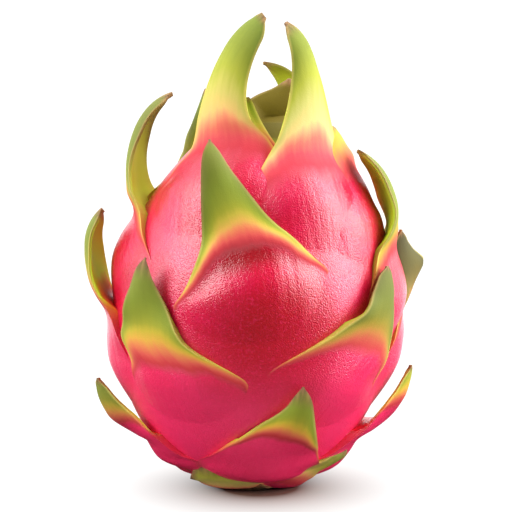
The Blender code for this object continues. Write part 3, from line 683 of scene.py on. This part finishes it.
    # pebbled grain 0.34 mm across, a little coarser than the real 0.3 mm so that it shows
    grain = addNode(material, "ShaderNodeTexVoronoi", {"Vector": place, "Scale": 1000 / rindLook["grain"]},
                    feature="SMOOTH_F1").outputs["Distance"]
    pores = sums("MULTIPLY", noise(rindLook["pore"], 4.0), rindLook["poreDepth"])
    relief = sums("MULTIPLY_ADD", grain, -rindLook["grainDepth"], pores)
    relief = sums("ADD", relief, sums("MULTIPLY", fibre, rindLook["wrinkleDepth"]))
    relief = sums("ADD", relief, sums("MULTIPLY", streak, rindLook["creaseDepth"]))
    strength = addNode(material, "ShaderNodeMapRange", {
        "Value": greenness, "To Min": rindLook["bump"], "To Max": rindLook["greenBump"]}).outputs[0]
    bump = addNode(material, "ShaderNodeBump", {
        "Height": relief, "Strength": strength, "Distance": rindLook["bumpDistance"]}).outputs[0]
    material.node_tree.links.new(bump, shader.inputs["Normal"])
    return material


rind = rindMaterial()
fruitSkin.data.materials.clear()
fruitSkin.data.materials.append(rind)
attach(fruitSkin, "root")
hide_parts("fruit")


# Stem
stemLook = dict(
    roughness=0.85, colour="#7A5636", blotchesPerMetre=900, detail=4, bump=0.6, bumpDistance=0.0004,
)


def stemMaterial():
    # Cut cactus stem: corky brown and dull.  The eye sees dark and light flecks of dry cork.
    material, shader = newMaterial("cut_stem", **{
        "Roughness": stemLook["roughness"], "Base Color": linear(stemLook["colour"])})
    place = addNode(material, "ShaderNodeTexCoord").outputs["Object"]
    noise = addNode(material, "ShaderNodeTexNoise", {
        "Vector": place, "Scale": stemLook["blotchesPerMetre"], "Detail": stemLook["detail"]}).outputs["Fac"]
    ramp = setRamp(addNode(material, "ShaderNodeValToRGB", {"Fac": noise}), (
        (0.3, "#4A2E1A"), (0.5, "#7A5232"), (0.7, "#B08C62")))
    material.node_tree.links.new(ramp.outputs["Color"], shader.inputs["Base Color"])
    bump = addNode(material, "ShaderNodeBump", {
        "Height": noise, "Strength": stemLook["bump"], "Distance": stemLook["bumpDistance"]})
    material.node_tree.links.new(bump.outputs["Normal"], shader.inputs["Normal"])
    return material


stem = stemMaterial()
for one in frame["nodes"]["stem_stub"].material_slots:
    one.material = stem


# Floor, light and camera
studio = dict(
    target=(0.0019, 0.0, 0.0672), distance=0.80, elevation=9.0, widthSeen=0.1515, sensor=36.0,
    # the paper colour is the warm grey of the painted shadow round the fruit
    floorSize=1.5, paintedShadowColour="#80685E", fillColour="#A4A0A0", mirroredColour="#202020", mirrorTurn=0.3,
    shadowPlace=(0.003, -0.012, 0), shadowReach=(0.011, 0.060), shadowEase=0.38,
    lights=dict(
        left=dict(place=(-0.74, -0.30, 0.58), size=(0.60, 1.00), watts=8.5, colour="#FFFFFF"),
        right=dict(place=(0.88, -0.18, 0.40), size=(0.66, 1.25), watts=13.5, colour="#FFFFFF"),
        top=dict(place=(0.42, 0.30, 0.90), size=(0.8, 0.5), watts=3.2, colour="#FFFFFF"),
    ),
    roomFront=0.3, mirroredFront=0.02, roomBack=1.35, mirroredBack=2.1, roomTurn=(-0.5, 0.5),
)


def makeFloor():
    half = studio["floorSize"] / 2
    points = np.array([[-half, -half, 0], [half, -half, 0], [half, half, 0], [-half, half, 0]])
    floor = meshFrom("floor", points, [np.array([[0, 1, 2, 3]])])
    bpy.context.scene.collection.objects.link(floor)
    # Matt studio paper with a painted shadow: warm grey round the fruit, where it also takes the real shadow,
    # and glowing white further out, into the white of the room
    material, shader = newMaterial("matt_paper", **{
        "Base Color": linear(studio["paintedShadowColour"]), "Roughness": 1.0, "Specular IOR Level": 0.0})
    place = addNode(material, "ShaderNodeTexCoord").outputs["Object"]
    away = addNode(material, "ShaderNodeVectorMath", {0: place, 1: studio["shadowPlace"]},
                   operation="DISTANCE").outputs["Value"]
    near, far = studio["shadowReach"]
    share = addNode(material, "ShaderNodeMapRange", {
        "Value": away, "From Min": near, "From Max": far}, interpolation_type="SMOOTHSTEP").outputs[0]
    share = addNode(material, "ShaderNodeMath", {0: share, 1: studio["shadowEase"]},
                    operation="POWER").outputs[0]
    glow = addNode(material, "ShaderNodeEmission", {"Color": linear("#FFFFFF"), "Strength": 1.0}).outputs[0]
    white = addNode(material, "ShaderNodeMixShader", {0: share, 1: shader.outputs[0], 2: glow}).outputs[0]
    # the fruit is lit from below by a grey floor, and its gloss mirrors one dark in front and white behind
    dim = addNode(material, "ShaderNodeBsdfDiffuse", {"Color": linear(studio["fillColour"])}).outputs[0]
    dark = addNode(material, "ShaderNodeBsdfDiffuse", {"Color": linear(studio["mirroredColour"])}).outputs[0]
    behind = addNode(material, "ShaderNodeMapRange", {
        "Value": addNode(material, "ShaderNodeSeparateXYZ", {0: place}).outputs["Y"],
        "From Max": studio["mirrorTurn"],
    }, interpolation_type="SMOOTHSTEP").outputs[0]
    light = addNode(material, "ShaderNodeEmission", {
        "Color": linear("#FFFFFF"), "Strength": studio["mirroredBack"]}).outputs[0]
    dark = addNode(material, "ShaderNodeMixShader", {0: behind, 1: dark, 2: light}).outputs[0]
    path = addNode(material, "ShaderNodeLightPath").outputs
    unseen = addNode(material, "ShaderNodeMixShader", {0: path["Is Glossy Ray"], 1: dim, 2: dark}).outputs[0]
    mixed = addNode(material, "ShaderNodeMixShader", {
        0: path["Is Camera Ray"], 1: unseen, 2: white}).outputs[0]
    material.node_tree.links.new(mixed, material.node_tree.nodes["Material Output"].inputs["Surface"])
    floor.data.materials.append(material)


def makeLight(name, place, size, watts, colour):
    lamp = bpy.data.lights.new(name, "AREA")
    lamp.shape, lamp.energy, lamp.color = "RECTANGLE", watts, linear(colour)[:3]
    lamp.size, lamp.size_y = size
    made = bpy.data.objects.new(name, lamp)
    made.location = place
    towards = Vector(studio["target"]) - made.location
    made.rotation_euler = towards.to_track_quat("-Z", "Y").to_euler()
    bpy.context.scene.collection.objects.link(made)


def makeCamera():
    lens = bpy.data.cameras.new("camera")
    lens.sensor_width = studio["sensor"]
    lens.lens = studio["distance"] * studio["sensor"] / studio["widthSeen"]
    made = bpy.data.objects.new("camera", lens)
    tilt = math.radians(studio["elevation"])
    back = Vector((0.0, -math.cos(tilt), math.sin(tilt)))
    made.location = Vector(studio["target"]) + back * studio["distance"]
    made.rotation_euler = (-back).to_track_quat("-Z", "Y").to_euler()
    bpy.context.scene.collection.objects.link(made)
    bpy.context.scene.camera = made


def makeWorld():
    # white behind and dim in front, darker still in the fruit's gloss; the background itself is plain white
    world = bpy.data.worlds.new("studio_room")
    bpy.context.scene.world = world
    world.use_nodes = True
    tree = world.node_tree
    room = tree.nodes["Background"]
    towards = addNode(world, "ShaderNodeTexCoord").outputs["Generated"]
    depth = addNode(world, "ShaderNodeSeparateXYZ", {0: towards}).outputs["Y"]
    front = addNode(world, "ShaderNodeMapRange", {
        "Value": addNode(world, "ShaderNodeLightPath").outputs["Is Glossy Ray"],
        "To Min": studio["roomFront"], "To Max": studio["mirroredFront"]}).outputs[0]
    start, end = studio["roomTurn"]
    strength = addNode(world, "ShaderNodeMapRange", {
        "Value": depth, "From Min": start, "From Max": end, "To Min": front, "To Max": studio["roomBack"],
    }, interpolation_type="SMOOTHSTEP").outputs[0]
    tree.links.new(strength, room.inputs["Strength"])
    room.inputs["Color"].default_value = linear("#FFFFFF")
    white = addNode(world, "ShaderNodeBackground", {"Color": linear("#FFFFFF"), "Strength": 1.0}).outputs[0]
    seen = addNode(world, "ShaderNodeLightPath").outputs["Is Camera Ray"]
    pick = addNode(world, "ShaderNodeMixShader", {0: seen, 1: room.outputs[0], 2: white}).outputs[0]
    tree.links.new(pick, tree.nodes["World Output"].inputs["Surface"])


makeFloor()
for name, values in studio["lights"].items():
    makeLight(name + "_softbox", **values)
makeCamera()
makeWorld()
bpy.context.scene.view_settings.view_transform = "Standard"
bpy.context.scene.view_settings.look = "Medium High Contrast"
print("studio ready")
